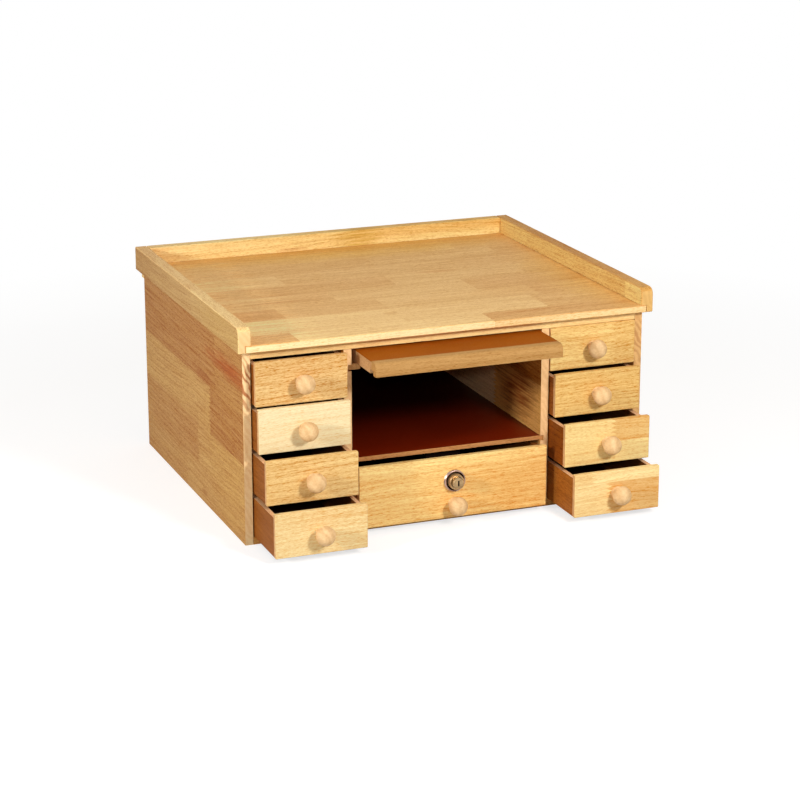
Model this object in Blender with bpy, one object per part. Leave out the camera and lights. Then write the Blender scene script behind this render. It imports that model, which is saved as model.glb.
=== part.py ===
"""Tabletop watchmaker's bench.

A small wooden case stands on a table. It carries a worktop with a low gallery on three sides, a bank
of small drawers on each side, and a middle bay with a pull-out tray, an open shelf and a centre drawer
with a cam lock. The drawers and the tray stand partly pulled out.

X runs to the right, Y to the back and Z up, in metres. The origin is the middle of the case's footprint
on the table.
"""
import math

import bmesh
import bpy
from mathutils import Matrix, Vector

# Gaps and clearances
GLUE_GAP = 0.0003            # between pieces that are glued, screwed or slid together
SLIDE_GAP = 0.0004           # under a drawer, above what it slides on
TRAY_SLIDE_GAP = 0.0012      # under the tray, over its runners
RUN_CLEARANCE = 0.0009       # over a drawer's sides, under the runner above
OVERCUT = 0.002              # how far a cutter reaches past the face that it opens
EMBED = 0.001                # how far a strip is let into the panel that it is one piece with

# Case
CASE_WIDTH = 0.4654
CASE_DEPTH = 0.381
CASE_HEIGHT = 0.215
CENTRE_BAY_WIDTH = 0.2219    # between the partitions
SIDE_THICKNESS = 0.0088
PARTITION_THICKNESS = 0.0089
BOTTOM_THICKNESS = 0.008
CASE_TOP_THICKNESS = 0.0092
BACK_THICKNESS = 0.005
HOUSING_DEPTH = 0.004        # grooves in the partitions for the shelf and the tray's runners

# Worktop and gallery
WORKTOP_THICKNESS = 0.008
TOP_FRONT_OVERHANG = 0.0113
TOP_BACK_OVERHANG = 0.0097
TOP_SIDE_OVERHANG = 0.0073
RAIL_THICKNESS = 0.014
RAIL_HEIGHT = 0.0277
RAIL_RABBET = 0.0067         # how far each rail laps over the edge of the worktop
RAIL_NOSE_RADIUS = 0.008     # round at the top of each side rail's front end
BOARD_EASE = 0.0008          # eased edges of the worktop and the rails

# Shelf over the centre drawer
SHELF_UNDERSIDE = 0.0781     # height above the table
SHELF_THICKNESS = 0.0048
SHELF_SETBACK = 0.002

# Pull-out tray
TRAY_SIDE_GAP = 0.00355      # each side of a tray in the middle of its bay
TRAY_SHIFT = 0.0025          # the loose tray lies this far to the right of its bay's middle
TRAY_BACK_ROOM = 0.0457      # behind the closed tray
TRAY_BOARD_THICKNESS = 0.0129
TRAY_SHEET_THICKNESS = 0.001
TRAY_HEADROOM = 0.0027       # under the case top
TRAY_PULL = 0.057
NOSING_THICKNESS = 0.013
NOSING_RADIUS = 0.007
NOSING_DROP = 0.0005         # lower edge of the nosing, below the board
FINGER_LIP = 0.0076          # wood left below the nosing in front of the finger groove
FINGER_REACH = 0.0037        # how far the finger groove goes on under the board
FINGER_GROOVE_HEIGHT = 0.0045
TRAY_RUNNER_WIDTH = 0.0115   # standing out from the partition
TRAY_RUNNER_THICKNESS = 0.0064
TRAY_RUNNER_SETBACK = 0.004

# Small drawers
SMALL_SIDE_GAP = 0.0008      # between a front and the side or partition beside it
FRONT_GAP = 0.0008           # between one front and the next
FRONT_THICKNESS = 0.012
FRONT_LIP = 0.006            # thickness of the front's ends and top, past the rabbet
FRONT_EASE = 0.0006
BOX_INSET = 0.0008           # box side, in from the end of the front
SMALL_SIDE_THICKNESS = 0.005
DRAWER_BACK_ROOM = 0.0157    # behind each closed drawer
DRAWER_BOTTOM_THICKNESS = 0.003
DRAWER_BOTTOM_RAISE = 0.004  # from the drawer's underside to its bottom panel
BOTTOM_GROOVE_DEPTH = 0.0025
RUNNER_WIDTH = 0.0115
RUNNER_THICKNESS = 0.0044
RUNNER_SETBACK = 0.002       # behind the closed drawer fronts
LEFT_PULLS = (0.0146, 0.0231, 0.0462, 0.0734)     # how far each stands open, top to bottom
RIGHT_PULLS = (0.0024, 0.0167, 0.0442, 0.0707)

# Centre drawer
CENTRE_PULL = 0.0193
CENTRE_SIDE_GAP = 0.0008
CENTRE_SIDE_DROP = 0.0049    # sides, below the top of the front
CENTRE_SIDE_THICKNESS = 0.006
CENTRE_KNOB_HEIGHT = 0.0162  # above the front's lower edge
LOCK_DROP = 0.0267           # below the front's upper edge

# Turned knobs
KNOB_RADIUS = 0.0106
KNOB_LENGTH = 0.0213
KNOB_WIDEST = 0.012          # where the head is widest, out from the drawer front
KNOB_FOOT_RADIUS = 0.0072
KNOB_NECK_RADIUS = 0.0057
KNOB_NECK = 0.0046           # where the neck is thinnest
KNOB_TENON_RADIUS = 0.004
KNOB_TENON_LENGTH = 0.008
TENON_CLEARANCE = 0.0003
KNOB_DROP = 0.001            # below the middle of a small drawer's front

# Cam lock
LOCK_PLUG_RADIUS = 0.0067
LOCK_PLUG_LENGTH = 0.0127    # out from the drawer front
LOCK_SLEEVE_WALL = 0.0017
LOCK_SLEEVE_LENGTH = 0.0092  # out from the drawer front
LOCK_GROOVE_WIDTH = 0.0018   # ring groove between the sleeve and the rim
LOCK_GROOVE_DEPTH = 0.0018
LOCK_RIM_WIDTH = 0.0016
LOCK_FLANGE_THICKNESS = 0.0034
LOCK_BARREL_WALL = 0.0018
LOCK_TAIL = 0.0025           # barrel standing out behind the nut
NUT_WALL = 0.0022
NUT_THICKNESS = 0.004
KEYWAY_WIDTH = 0.0018
KEYWAY_HEIGHT = 0.0062
KEYWAY_DEPTH = 0.005
TANG_SHOULDER = 0.0013       # left of the plug's radius past the corners of its square end
CAM_RIM = 0.0037             # cam plate round the square hole
CAM_THICKNESS = 0.002
CAM_TIP_CLEARANCE = 0.004    # locked cam, under the shelf
STRIKE_WIDTH = 0.04
STRIKE_HEIGHT = 0.0117
STRIKE_CLEARANCE = 0.001     # between the strike and the front or cam, and over the drawer's back

# Round pieces
TURNED_SIDES = 28
HEAD_START = -43             # degrees; where a knob's head starts, behind its widest part
HEAD_STEPS = 9               # profile points over a knob's head
ARC_STEPS = 6                # segments in a quarter round
SHARP_ANGLE = 35             # degrees; flatter edges are shaded smooth

# Derived places, case
FRONT_Y = -CASE_DEPTH / 2
BACK_Y = CASE_DEPTH / 2
BACK_PANEL_Y = BACK_Y - BACK_THICKNESS
INNER_BACK_Y = BACK_PANEL_Y - GLUE_GAP
SIDE_INNER_X = CASE_WIDTH / 2 - SIDE_THICKNESS
PARTITION_INNER_X = CENTRE_BAY_WIDTH / 2
PARTITION_OUTER_X = PARTITION_INNER_X + PARTITION_THICKNESS
CASE_TOP_UNDERSIDE = CASE_HEIGHT - CASE_TOP_THICKNESS

# Derived places, worktop
TOP_Z = CASE_HEIGHT + GLUE_GAP
TOP_FRONT_Y = FRONT_Y - TOP_FRONT_OVERHANG
TOP_BACK_Y = BACK_Y + TOP_BACK_OVERHANG
RAIL_OUTER_X = CASE_WIDTH / 2 + TOP_SIDE_OVERHANG
RAIL_INNER_X = RAIL_OUTER_X - RAIL_THICKNESS

# Derived places, drawers
SMALL_BAY_WIDTH = SIDE_INNER_X - PARTITION_OUTER_X
SMALL_BAY_X = (SIDE_INNER_X + PARTITION_OUTER_X) / 2
DRAWER_PITCH = (CASE_TOP_UNDERSIDE - BOTTOM_THICKNESS) / len(LEFT_PULLS)
SMALL_WIDTH = SMALL_BAY_WIDTH - 2 * SMALL_SIDE_GAP
SMALL_HEIGHT = DRAWER_PITCH - FRONT_GAP
SMALL_SIDE_HEIGHT = DRAWER_PITCH - RUNNER_THICKNESS - SLIDE_GAP - RUN_CLEARANCE
CENTRE_WIDTH = CENTRE_BAY_WIDTH - 2 * CENTRE_SIDE_GAP
CENTRE_HEIGHT = SHELF_UNDERSIDE - BOTTOM_THICKNESS - 2 * SLIDE_GAP
CENTRE_SIDE_HEIGHT = CENTRE_HEIGHT - CENTRE_SIDE_DROP
CENTRE_BASE_Z = BOTTOM_THICKNESS + SLIDE_GAP
STRIKE_BOTTOM_Z = SHELF_UNDERSIDE - GLUE_GAP - STRIKE_HEIGHT
CENTRE_BACK_TOP = STRIKE_BOTTOM_Z - STRIKE_CLEARANCE - CENTRE_BASE_Z
DRAWER_DEPTH = INNER_BACK_Y - FRONT_Y - DRAWER_BACK_ROOM
LOCK_HEIGHT = CENTRE_HEIGHT - LOCK_DROP

# Derived places, tray
TRAY_WIDTH = CENTRE_BAY_WIDTH - 2 * TRAY_SIDE_GAP
TRAY_DEPTH = INNER_BACK_Y - FRONT_Y - TRAY_BACK_ROOM
TRAY_THICKNESS = TRAY_BOARD_THICKNESS + TRAY_SHEET_THICKNESS + GLUE_GAP
TRAY_UNDERSIDE = CASE_TOP_UNDERSIDE - TRAY_HEADROOM - TRAY_THICKNESS
TRAY_RUNNER_TOP = TRAY_UNDERSIDE - TRAY_SLIDE_GAP

# Derived sizes of the lock, and places out from the face of the drawer front
LOCK_BORE_RADIUS = LOCK_PLUG_RADIUS + GLUE_GAP
LOCK_SLEEVE_RADIUS = LOCK_BORE_RADIUS + LOCK_SLEEVE_WALL
LOCK_RIM_RADIUS = LOCK_SLEEVE_RADIUS + LOCK_GROOVE_WIDTH
LOCK_FLANGE_RADIUS = LOCK_RIM_RADIUS + LOCK_RIM_WIDTH
LOCK_BARREL_RADIUS = LOCK_BORE_RADIUS + LOCK_BARREL_WALL
NUT_BORE_RADIUS = LOCK_BARREL_RADIUS + GLUE_GAP
NUT_FLAT = NUT_BORE_RADIUS + NUT_WALL
NUT_FRONT = -FRONT_THICKNESS - GLUE_GAP
NUT_BACK = NUT_FRONT - NUT_THICKNESS
BARREL_END = NUT_BACK - LOCK_TAIL
TANG_HALF = (LOCK_PLUG_RADIUS - TANG_SHOULDER) / math.sqrt(2)
CAM_HOLE_HALF = TANG_HALF + GLUE_GAP
CAM_HALF = CAM_HOLE_HALF + CAM_RIM
CAM_REACH = LOCK_DROP + SLIDE_GAP - CAM_TIP_CLEARANCE
CAM_FRONT = BARREL_END - 2 * GLUE_GAP
CAM_BACK = CAM_FRONT - CAM_THICKNESS

# Colour, roughness and metallic value of each finish
FINISHES = {
    "panel_wood": ((0.52, 0.33, 0.15), 0.45, 0.0),
    "worktop_wood": ((0.62, 0.41, 0.19), 0.4, 0.0),
    "front_wood": ((0.80, 0.55, 0.24), 0.45, 0.0),
    "inner_wood": ((0.42, 0.22, 0.08), 0.6, 0.0),
    "knob_wood": ((0.82, 0.60, 0.36), 0.35, 0.0),
    "brown_sheet": ((0.33, 0.10, 0.02), 0.5, 0.0),
    "brown_board": ((0.14, 0.03, 0.01), 0.6, 0.0),
    "chrome": ((0.75, 0.75, 0.74), 0.15, 1.0),
    "nickel": ((0.62, 0.57, 0.47), 0.25, 1.0),
    "zinc": ((0.55, 0.55, 0.53), 0.4, 1.0),
}


def clear_scene():
    """Remove every object, so that the script can be run again."""
    for item in list(bpy.data.objects):
        bpy.data.objects.remove(item, do_unlink=True)


def finish(name):
    """Return the material of that name, made on first use."""
    material = bpy.data.materials.get(name)
    if material is None:
        colour, roughness, metallic = FINISHES[name]
        material = bpy.data.materials.new(name)
        material.use_nodes = True
        shader = material.node_tree.nodes["Principled BSDF"]
        shader.inputs["Base Color"].default_value = (*colour, 1.0)
        shader.inputs["Roughness"].default_value = roughness
        shader.inputs["Metallic"].default_value = metallic
    return material


def place(name, mesh, finish_name, parent=None):
    """Put a mesh into the scene as a named piece."""
    piece = bpy.data.objects.new(name, mesh)
    bpy.context.scene.collection.objects.link(piece)
    if not mesh.materials:
        mesh.materials.append(finish(finish_name))
    piece.parent = parent
    return piece


def carrier(name, location, parent=None):
    """Add the empty that a moving body's pieces hang on, at its joint."""
    empty = bpy.data.objects.new(name, None)
    bpy.context.scene.collection.objects.link(empty)
    empty.location = location
    empty.parent = parent
    return empty


def mesh_from(shape):
    """Turn a bmesh into a mesh with its faces pointing out."""
    bmesh.ops.recalc_face_normals(shape, faces=shape.faces)
    mesh = bpy.data.meshes.new("shape")
    shape.to_mesh(mesh)
    shape.free()
    return mesh


def block(low, high):
    """Return a box between two corners."""
    low, high = Vector(low), Vector(high)
    shape = bmesh.new()
    bmesh.ops.create_cube(shape, size=1.0)
    bmesh.ops.scale(shape, vec=high - low, verts=shape.verts)
    bmesh.ops.translate(shape, vec=(low + high) / 2, verts=shape.verts)
    return mesh_from(shape)


def prism(outline, along, start, end):
    """Return an outline drawn in the plane square to X, Y or Z, extruded along that axis."""
    places = {
        "X": lambda a, b: (start, a, b),
        "Y": lambda a, b: (a, start, b),
        "Z": lambda a, b: (a, b, start),
    }
    ways = {"X": Vector((1, 0, 0)), "Y": Vector((0, 1, 0)), "Z": Vector((0, 0, 1))}
    shape = bmesh.new()
    ring = [shape.verts.new(places[along](a, b)) for a, b in outline]
    cap = shape.faces.new(ring)
    grown = bmesh.ops.extrude_face_region(shape, geom=[cap])
    moved = [item for item in grown["geom"] if isinstance(item, bmesh.types.BMVert)]
    bmesh.ops.translate(shape, vec=ways[along] * (end - start), verts=moved)
    return mesh_from(shape)


def turned(profile, sides=TURNED_SIDES, closed=False):
    """Spin a profile of (radius, distance out) round the Y axis, with out along -Y."""
    shape = bmesh.new()
    points = [shape.verts.new((radius, -out, 0.0)) for radius, out in profile]
    edges = [shape.edges.new(pair) for pair in zip(points, points[1:])]
    if closed:
        edges.append(shape.edges.new((points[-1], points[0])))
    bmesh.ops.spin(shape, geom=points + edges, cent=(0, 0, 0), axis=(0, 1, 0),
                   angle=2 * math.pi, steps=sides, use_duplicate=False)
    bmesh.ops.remove_doubles(shape, verts=shape.verts, dist=0.000001)
    mesh = mesh_from(shape)
    mesh.shade_smooth()
    mesh.set_sharp_from_angle(angle=math.radians(SHARP_ANGLE))
    return mesh


def rod(radius, inner_end, outer_end):
    """Return a round bar along Y, between two distances out."""
    return turned([(0, inner_end), (radius, inner_end), (radius, outer_end), (0, outer_end)])


def modified(mesh, add_modifiers):
    """Return a mesh with modifiers applied to it."""
    work = bpy.data.objects.new("work", mesh)
    bpy.context.scene.collection.objects.link(work)
    tools = add_modifiers(work)
    graph = bpy.context.evaluated_depsgraph_get()
    result = bpy.data.meshes.new_from_object(work.evaluated_get(graph))
    for item in [work] + tools:
        bpy.data.objects.remove(item, do_unlink=True)
    return result


def combined(mesh, others, operation):
    """Return a mesh cut by, or joined with, other meshes."""
    def add_modifiers(work):
        tools = []
        for other in others:
            tool = bpy.data.objects.new("tool", other)
            bpy.context.scene.collection.objects.link(tool)
            tool.hide_render = True
            tool.display_type = 'WIRE'
            modifier = work.modifiers.new("combine", 'BOOLEAN')
            modifier.operation = operation
            modifier.solver = 'EXACT'
            modifier.object = tool
            tools.append(tool)
        return tools
    return modified(mesh, add_modifiers)


def cut(mesh, *cutters):
    """Return a mesh with the cutters taken out of it."""
    return combined(mesh, cutters, 'DIFFERENCE')


def joined(mesh, *additions):
    """Return a mesh made one body with the additions."""
    return combined(mesh, additions, 'UNION')


def eased(mesh, width):
    """Return a mesh with its sharp edges chamfered."""
    def add_modifiers(work):
        modifier = work.modifiers.new("ease", 'BEVEL')
        modifier.width = width
        modifier.segments = 1
        modifier.limit_method = 'ANGLE'
        modifier.angle_limit = math.radians(40)
        return []
    return modified(mesh, add_modifiers)


def moved(mesh, offset):
    """Shift a mesh's points and return it."""
    mesh.transform(Matrix.Translation(offset))
    return mesh


def span(side, near, far):
    """Return low and high X for a stretch on the left (-1) or right (+1) of the middle."""
    return sorted((side * near, side * far))


def quarter_round(centre, radius, start_angle):
    """Return the points of a quarter circle, counter-clockwise from an angle in degrees."""
    points = []
    for step in range(ARC_STEPS + 1):
        angle = math.radians(start_angle + 90 * step / ARC_STEPS)
        points.append((centre[0] + radius * math.cos(angle), centre[1] + radius * math.sin(angle)))
    return points


def support_level(row):
    """Height that a small drawer slides on, with row 0 at the bottom."""
    return BOTTOM_THICKNESS + row * DRAWER_PITCH


def drawer_runners(side, panel_face, inward):
    """Return the strips under the small drawers, standing out from a panel's face."""
    start = FRONT_Y + FRONT_THICKNESS + RUNNER_SETBACK
    strips = []
    for row in range(1, len(LEFT_PULLS)):
        low_x, high_x = span(side, panel_face - inward * EMBED, panel_face + inward * RUNNER_WIDTH)
        top = support_level(row)
        strips.append(block((low_x, start, top - RUNNER_THICKNESS), (high_x, INNER_BACK_Y, top)))
    return strips


def build_case():
    """Sides, partitions, bottom, shelf, back, and a top that runs out over the back."""
    for side, word in ((-1, "left"), (1, "right")):
        low_x, high_x = span(side, SIDE_INNER_X, CASE_WIDTH / 2)
        panel = block((low_x, FRONT_Y, 0), (high_x, BACK_Y, CASE_HEIGHT))
        panel = joined(panel, *drawer_runners(side, SIDE_INNER_X, -1))
        place(word + "_side", panel, "panel_wood")
        place(word + "_partition", partition(side), "panel_wood")

    inside_x = SIDE_INNER_X - GLUE_GAP
    bottom = block((-inside_x, FRONT_Y, 0), (inside_x, INNER_BACK_Y, BOTTOM_THICKNESS))
    place("bottom_panel", bottom, "panel_wood")
    wing_x = CASE_WIDTH / 2
    wing_y = BACK_Y + GLUE_GAP
    outline = [(-inside_x, FRONT_Y), (inside_x, FRONT_Y), (inside_x, wing_y), (wing_x, wing_y),
               (wing_x, TOP_BACK_Y), (-wing_x, TOP_BACK_Y), (-wing_x, wing_y), (-inside_x, wing_y)]
    place("case_top", prism(outline, "Z", CASE_TOP_UNDERSIDE, CASE_HEIGHT), "panel_wood")
    back = block((-inside_x, BACK_PANEL_Y, 0), (inside_x, BACK_Y, CASE_TOP_UNDERSIDE - GLUE_GAP))
    place("back_panel", back, "brown_board")

    shelf_x = PARTITION_INNER_X + HOUSING_DEPTH - GLUE_GAP
    shelf = block((-shelf_x, FRONT_Y + SHELF_SETBACK, SHELF_UNDERSIDE),
                  (shelf_x, INNER_BACK_Y, SHELF_UNDERSIDE + SHELF_THICKNESS))
    place("centre_shelf", shelf, "brown_board")


def partition(side):
    """Upright between two bays, with strips for the drawers and grooves for the shelf and tray."""
    low_x, high_x = span(side, PARTITION_INNER_X, PARTITION_OUTER_X)
    upright = block((low_x, FRONT_Y, BOTTOM_THICKNESS + GLUE_GAP),
                    (high_x, INNER_BACK_Y, CASE_TOP_UNDERSIDE - GLUE_GAP))
    upright = joined(upright, *drawer_runners(side, PARTITION_OUTER_X, 1))
    groove_x = span(side, PARTITION_INNER_X - OVERCUT, PARTITION_INNER_X + HOUSING_DEPTH)
    grooves = []
    for bottom, thickness in ((SHELF_UNDERSIDE, SHELF_THICKNESS),
                              (TRAY_RUNNER_TOP - TRAY_RUNNER_THICKNESS, TRAY_RUNNER_THICKNESS)):
        grooves.append(block((groove_x[0], FRONT_Y - OVERCUT, bottom - GLUE_GAP),
                             (groove_x[1], BACK_Y + OVERCUT, bottom + thickness + GLUE_GAP)))
    return cut(upright, *grooves)


def build_worktop():
    """Worktop board, and the rails that lap over its side and back edges."""
    leg = RAIL_THICKNESS - RAIL_RABBET
    board_x = RAIL_OUTER_X - leg - GLUE_GAP
    board_back = TOP_BACK_Y - leg - GLUE_GAP
    board_top = TOP_Z + WORKTOP_THICKNESS
    board = block((-board_x, TOP_FRONT_Y, TOP_Z), (board_x, board_back, board_top))
    place("worktop", eased(board, BOARD_EASE), "worktop_wood")

    lap = block((-board_x - GLUE_GAP, TOP_FRONT_Y - OVERCUT, TOP_Z - OVERCUT),
                (board_x + GLUE_GAP, board_back + GLUE_GAP, board_top + GLUE_GAP))
    rail_top = TOP_Z + RAIL_HEIGHT
    nose = (TOP_FRONT_Y + RAIL_NOSE_RADIUS, rail_top - RAIL_NOSE_RADIUS)
    outline = [(TOP_FRONT_Y, TOP_Z), (TOP_BACK_Y, TOP_Z), (TOP_BACK_Y, rail_top)]
    outline += quarter_round(nose, RAIL_NOSE_RADIUS, 90)
    for side, word in ((-1, "left"), (1, "right")):
        low_x, high_x = span(side, RAIL_INNER_X, RAIL_OUTER_X)
        rail = cut(eased(prism(outline, "X", low_x, high_x), BOARD_EASE), lap)
        rail.shade_smooth()
        rail.set_sharp_from_angle(angle=math.radians(SHARP_ANGLE))
        place(word + "_rail", rail, "worktop_wood")
    back_x = RAIL_INNER_X - GLUE_GAP
    back_rail = block((-back_x, TOP_BACK_Y - RAIL_THICKNESS, TOP_Z), (back_x, TOP_BACK_Y, rail_top))
    place("back_rail", cut(eased(back_rail, BOARD_EASE), lap), "worktop_wood")


def build_tray():
    """Pull-out board with a top sheet and a rounded nosing, and the runners that carry it."""
    tray = carrier("tray", (TRAY_SHIFT, FRONT_Y - TRAY_PULL, TRAY_UNDERSIDE))
    half = TRAY_WIDTH / 2
    board_front = NOSING_THICKNESS + GLUE_GAP
    groove_back = board_front + FINGER_REACH
    board = [(board_front, TRAY_BOARD_THICKNESS), (board_front, FINGER_GROOVE_HEIGHT),
             (groove_back, FINGER_GROOVE_HEIGHT), (groove_back, 0), (TRAY_DEPTH, 0),
             (TRAY_DEPTH, TRAY_BOARD_THICKNESS)]
    place("tray_board", prism(board, "X", -half, half), "panel_wood", tray)

    sheet = block((-half, board_front, TRAY_BOARD_THICKNESS + GLUE_GAP), (half, TRAY_DEPTH, TRAY_THICKNESS))
    place("tray_sheet", sheet, "brown_sheet", tray)

    corner = (NOSING_RADIUS, TRAY_THICKNESS - NOSING_RADIUS)
    nosing = [(0, -NOSING_DROP), (FINGER_LIP, -NOSING_DROP), (FINGER_LIP, FINGER_GROOVE_HEIGHT),
              (NOSING_THICKNESS, FINGER_GROOVE_HEIGHT), (NOSING_THICKNESS, TRAY_THICKNESS)]
    nosing += quarter_round(corner, NOSING_RADIUS, 90)
    strip = prism(nosing, "X", -half, half)
    strip.shade_smooth()
    strip.set_sharp_from_angle(angle=math.radians(SHARP_ANGLE))
    place("tray_nosing", strip, "front_wood", tray)

    for side, word in ((-1, "left"), (1, "right")):
        low_x, high_x = span(side, PARTITION_INNER_X - TRAY_RUNNER_WIDTH,
                             PARTITION_INNER_X + HOUSING_DEPTH - GLUE_GAP)
        runner = block((low_x, FRONT_Y + TRAY_RUNNER_SETBACK, TRAY_RUNNER_TOP - TRAY_RUNNER_THICKNESS),
                       (high_x, INNER_BACK_Y, TRAY_RUNNER_TOP))
        place("tray_runner_" + word, runner, "inner_wood")


def knob_mesh():
    """Turned knob with a tenon, its axis along Y and its foot at the drawer front."""
    profile = [(0, -KNOB_TENON_LENGTH), (KNOB_TENON_RADIUS, -KNOB_TENON_LENGTH),
               (KNOB_TENON_RADIUS, GLUE_GAP), (KNOB_FOOT_RADIUS, GLUE_GAP),
               ((KNOB_FOOT_RADIUS + KNOB_NECK_RADIUS) / 2, KNOB_NECK / 2), (KNOB_NECK_RADIUS, KNOB_NECK)]
    first_angle = math.radians(HEAD_START)
    shoulder = KNOB_WIDEST - KNOB_NECK
    crown = KNOB_LENGTH - KNOB_WIDEST
    for step in range(HEAD_STEPS + 1):
        angle = first_angle + (math.pi / 2 - first_angle) * step / HEAD_STEPS
        length = crown if angle > 0 else shoulder
        profile.append((KNOB_RADIUS * math.cos(angle), KNOB_WIDEST + length * math.sin(angle)))
    profile[-1] = (0, KNOB_LENGTH)
    return turned(profile)


def tenon_hole(x, z):
    """Cutter for a knob's blind hole in a drawer front."""
    hole = rod(KNOB_TENON_RADIUS + TENON_CLEARANCE, -KNOB_TENON_LENGTH - TENON_CLEARANCE, OVERCUT)
    return moved(hole, (x, 0, z))


def front_mesh(width, height, side_thickness, side_height, *cutters):
    """Drawer front, rabbeted at its ends and top and grooved for the bottom panel, its face at Y = 0."""
    half = width / 2
    thick_half = half - BOX_INSET - side_thickness - GLUE_GAP
    outline = [(-half, 0), (half, 0), (half, FRONT_LIP), (thick_half, FRONT_LIP),
               (thick_half, FRONT_THICKNESS), (-thick_half, FRONT_THICKNESS),
               (-thick_half, FRONT_LIP), (-half, FRONT_LIP)]
    front = eased(prism(outline, "Z", 0, height), FRONT_EASE)
    groove = block((-half, FRONT_THICKNESS - BOTTOM_GROOVE_DEPTH, DRAWER_BOTTOM_RAISE - GLUE_GAP),
                   (half, FRONT_THICKNESS + OVERCUT, bottom_top() + GLUE_GAP))
    rabbet = block((-width, FRONT_LIP, side_height), (width, FRONT_THICKNESS + OVERCUT, height + OVERCUT))
    return cut(front, groove, rabbet, *cutters)


def bottom_top():
    """Height of a drawer's bottom panel's upper face over the drawer's underside."""
    return DRAWER_BOTTOM_RAISE + DRAWER_BOTTOM_THICKNESS


def bottom_mesh(inner_half, back_y):
    """Drawer bottom, held in grooves in the front and the sides."""
    reach = inner_half + BOTTOM_GROOVE_DEPTH - GLUE_GAP
    front_y = FRONT_THICKNESS - BOTTOM_GROOVE_DEPTH + GLUE_GAP
    return block((-reach, front_y, DRAWER_BOTTOM_RAISE), (reach, back_y, bottom_top()))


def bottom_groove(inner_half, back_y):
    """Cutter for the groove round the inside of a drawer's sides."""
    reach = inner_half + BOTTOM_GROOVE_DEPTH
    return block((-reach, 0, DRAWER_BOTTOM_RAISE - GLUE_GAP), (reach, back_y, bottom_top() + GLUE_GAP))


def small_box_mesh():
    """Two sides and a back in one frame, grooved for the bottom panel."""
    outer = SMALL_WIDTH / 2 - BOX_INSET
    inner = outer - SMALL_SIDE_THICKNESS
    front_y = FRONT_LIP + GLUE_GAP
    back_inner = DRAWER_DEPTH - SMALL_SIDE_THICKNESS
    outline = [(-outer, front_y), (-inner, front_y), (-inner, back_inner), (inner, back_inner),
               (inner, front_y), (outer, front_y), (outer, DRAWER_DEPTH), (-outer, DRAWER_DEPTH)]
    frame = prism(outline, "Z", 0, SMALL_SIDE_HEIGHT)
    return cut(frame, bottom_groove(inner, back_inner + BOTTOM_GROOVE_DEPTH))


def build_small_drawers():
    """The bank of small drawers on each side, top drawer first."""
    inner = SMALL_WIDTH / 2 - BOX_INSET - SMALL_SIDE_THICKNESS
    back_y = DRAWER_DEPTH - SMALL_SIDE_THICKNESS + BOTTOM_GROOVE_DEPTH - GLUE_GAP
    knob_z = SMALL_HEIGHT / 2 - KNOB_DROP
    front = front_mesh(SMALL_WIDTH, SMALL_HEIGHT, SMALL_SIDE_THICKNESS, SMALL_SIDE_HEIGHT,
                       tenon_hole(0, knob_z))
    box = small_box_mesh()
    bottom = bottom_mesh(inner, back_y)
    knob = moved(knob_mesh(), (0, 0, knob_z))
    for side, word, pulls in ((-1, "left", LEFT_PULLS), (1, "right", RIGHT_PULLS)):
        for index, pull in enumerate(pulls):
            row = len(pulls) - 1 - index
            name = "drawer_" + word + "_" + str(index + 1)
            body = carrier(name, (side * SMALL_BAY_X, FRONT_Y - pull, support_level(row) + SLIDE_GAP))
            place(name + "_front", front, "front_wood", body)
            place(name + "_box", box, "inner_wood", body)
            place(name + "_bottom", bottom, "brown_board", body)
            place(name + "_knob", knob, "knob_wood", body)


def build_centre_drawer():
    """Wide drawer under the shelf, with a knob and a cam lock."""
    body = carrier("centre_drawer", (0, FRONT_Y - CENTRE_PULL, CENTRE_BASE_Z))
    outer = CENTRE_WIDTH / 2 - BOX_INSET
    inner = outer - CENTRE_SIDE_THICKNESS
    lock_hole = rod(LOCK_BARREL_RADIUS + GLUE_GAP, -FRONT_THICKNESS - OVERCUT, OVERCUT)
    front = front_mesh(CENTRE_WIDTH, CENTRE_HEIGHT, CENTRE_SIDE_THICKNESS, CENTRE_SIDE_HEIGHT,
                       tenon_hole(0, CENTRE_KNOB_HEIGHT), moved(lock_hole, (0, 0, LOCK_HEIGHT)))
    place("centre_drawer_front", front, "front_wood", body)
    for side, word in ((-1, "left"), (1, "right")):
        low_x, high_x = span(side, inner, outer)
        board = block((low_x, FRONT_LIP + GLUE_GAP, 0), (high_x, DRAWER_DEPTH, CENTRE_SIDE_HEIGHT))
        board = cut(board, bottom_groove(inner, DRAWER_DEPTH + OVERCUT))
        place("centre_drawer_" + word + "_side", board, "inner_wood", body)
    back_x = inner - GLUE_GAP
    back = block((-back_x, DRAWER_DEPTH - CENTRE_SIDE_THICKNESS, bottom_top() + GLUE_GAP),
                 (back_x, DRAWER_DEPTH, CENTRE_BACK_TOP))
    place("centre_drawer_back", back, "inner_wood", body)
    place("centre_drawer_bottom", bottom_mesh(inner, DRAWER_DEPTH), "brown_board", body)
    place("centre_drawer_knob", moved(knob_mesh(), (0, 0, CENTRE_KNOB_HEIGHT)), "knob_wood", body)
    build_lock(body)

    strike_front = FRONT_Y + FRONT_THICKNESS + STRIKE_CLEARANCE
    strike = block((-STRIKE_WIDTH / 2, strike_front, STRIKE_BOTTOM_Z),
                   (STRIKE_WIDTH / 2, FRONT_Y - CAM_FRONT - STRIKE_CLEARANCE, SHELF_UNDERSIDE - GLUE_GAP))
    place("lock_strike", strike, "inner_wood")


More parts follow.
